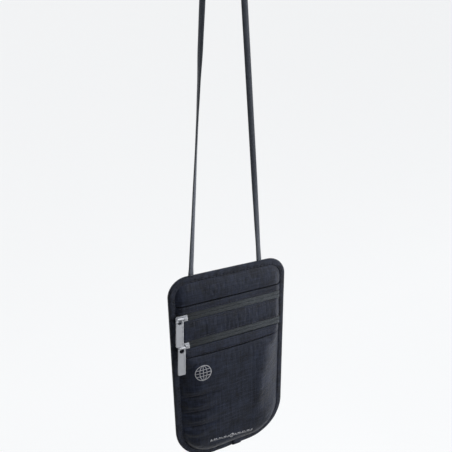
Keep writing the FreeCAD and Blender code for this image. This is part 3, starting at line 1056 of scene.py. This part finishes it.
def cord_route():
    """The CAD route's points, with one more in line on each leg close to the hook."""
    left = Vector((CORD_LEFT, 0, -LOOP_DROP))
    right = Vector((CORD_RIGHT, 0, -LOOP_DROP))
    top_left = Vector((-HOOK_HALF, 0, 0))
    top_right = Vector((HOOK_HALF, 0, 0))
    near_left = top_left + (left - top_left).normalized() * NEAR_HOOK
    near_right = top_right + (right - top_right).normalized() * NEAR_HOOK
    return [left, near_left, top_left, top_right, near_right, right]


def nurbs_line(points, resolution=40):
    """Points along the smooth NURBS line that has these control points, in metres."""
    curve = bpy.data.curves.new("route", "CURVE")
    curve.dimensions = "3D"
    spline = curve.splines.new("NURBS")
    spline.points.add(len(points) - 1)
    for control, point in zip(spline.points, points):
        control.co = (*(point * MM), 1)
    spline.order_u = 3
    spline.use_endpoint_u = True
    curve.resolution_u = resolution
    holder = bpy.data.objects.new("route", curve)
    bpy.context.scene.collection.objects.link(holder)
    mesh = bpy.data.meshes.new_from_object(holder.evaluated_get(bpy.context.evaluated_depsgraph_get()))
    line = [v.co.copy() for v in mesh.vertices]
    bpy.data.objects.remove(holder)
    bpy.data.curves.remove(curve)
    return line


# How the flat braid turns about its own line: length from its left end in millimetres, and the
# angle in degrees between its width and the Y direction.
TWIST = [
    (0, -90), (8, -70), (66, -50), (125, -21), (155, 0), (186, 30), (215, 41), (300, 12), (346, 0),
    (392, -20), (477, -65), (600, -60), (645, -84), (677, -100), (692, -90),
]


def even_points(line, step):
    """The line's points at even spacing, with their lengths, in metres."""
    run = [0.0]
    for a, b in zip(line, line[1:]):
        run.append(run[-1] + (b - a).length)
    count = round(run[-1] / step)
    at = [run[-1] * i / count for i in range(count + 1)]
    columns = [np.interp(at, run, [p[k] for p in line]) for k in range(3)]
    return [Vector(p) for p in zip(*columns)], at


def make_cord():
    """One flat braided cord from the left top edge over the hook to the right top edge."""
    line = nurbs_line(cord_route())
    centres, lengths = even_points(line, 0.0015)
    total = lengths[-1]
    scale = total / (TWIST[-1][0] * MM)
    sides = 20
    points, uvs = [], []
    for i, (centre, length) in enumerate(zip(centres, lengths)):
        ahead = (centres[min(i + 1, len(centres) - 1)] - centres[max(i - 1, 0)]).normalized()
        turn = math.radians(twist_at(length / scale / MM))
        across_line = ahead.cross(Vector((0, 1, 0)))
        wide = Vector((0, 1, 0)) * math.cos(turn) + across_line * math.sin(turn)
        thin = ahead.cross(wide)
        for k in range(sides):
            around = 2 * math.pi * k / sides
            c, s = math.cos(around), math.sin(around)
            point = centre / MM + wide * c * CORD_WIDTH / 2 + thin * s * CORD_THICK / 2
            points.append((point.x, point.y, point.z - POUCH_TOP))
            uvs.append((k / sides, length))
    faces = grid_faces(len(centres), sides, closed=True)
    faces += [tuple(range(sides))[::-1], tuple(range((len(centres) - 1) * sides, len(centres) * sides))]
    cord = make_piece("neck_cord_braid", points, faces, braid_material(), uvs=uvs)
    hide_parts("neck_cord")
    [tuple(p) for p in line]
    return cord


def twist_at(length):
    for (start, first), (end, second) in zip(TWIST, TWIST[1:]):
        if length <= end:
            share = max(0.0, (length - start) / (end - start))
            share = share * share * (3 - 2 * share)
            return first + (second - first) * share
    return TWIST[-1][1]


# ---------------------------------------------------------------- CAD nodes that stay

def finish_metal():
    """Sliders and pulls keep their CAD shape, with a nickel finish."""
    metal = metal_material()
    for name in ZIPS:
        for part in ("slider_body", "slider_bridge", "pull"):
            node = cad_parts[f"{name}_{part}"]
            node.data.materials.clear()
            node.data.materials.append(metal)


def finish_inside():
    """Divider and shielding films, hidden inside the pouch."""
    for name, material in (("pocket_divider", lining_material()), ("shield_lining_back", film_material())):
        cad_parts[name].data.materials.clear()
        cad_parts[name].data.materials.append(material)
    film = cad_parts["shield_lining_front"]
    film.data.materials.clear()
    film.data.materials.append(bpy.data.materials["shielding_film"])


def main():
    make_camera()
    make_cord()
    make_light()
    make_stage()
    pieces = make_cloth()
    tape, binding = make_binding()
    make_lap(binding)
    make_tapes()
    make_coils()
    ground = make_seams(pieces, tape)
    make_print(ground)
    finish_metal()
    finish_inside()


main()
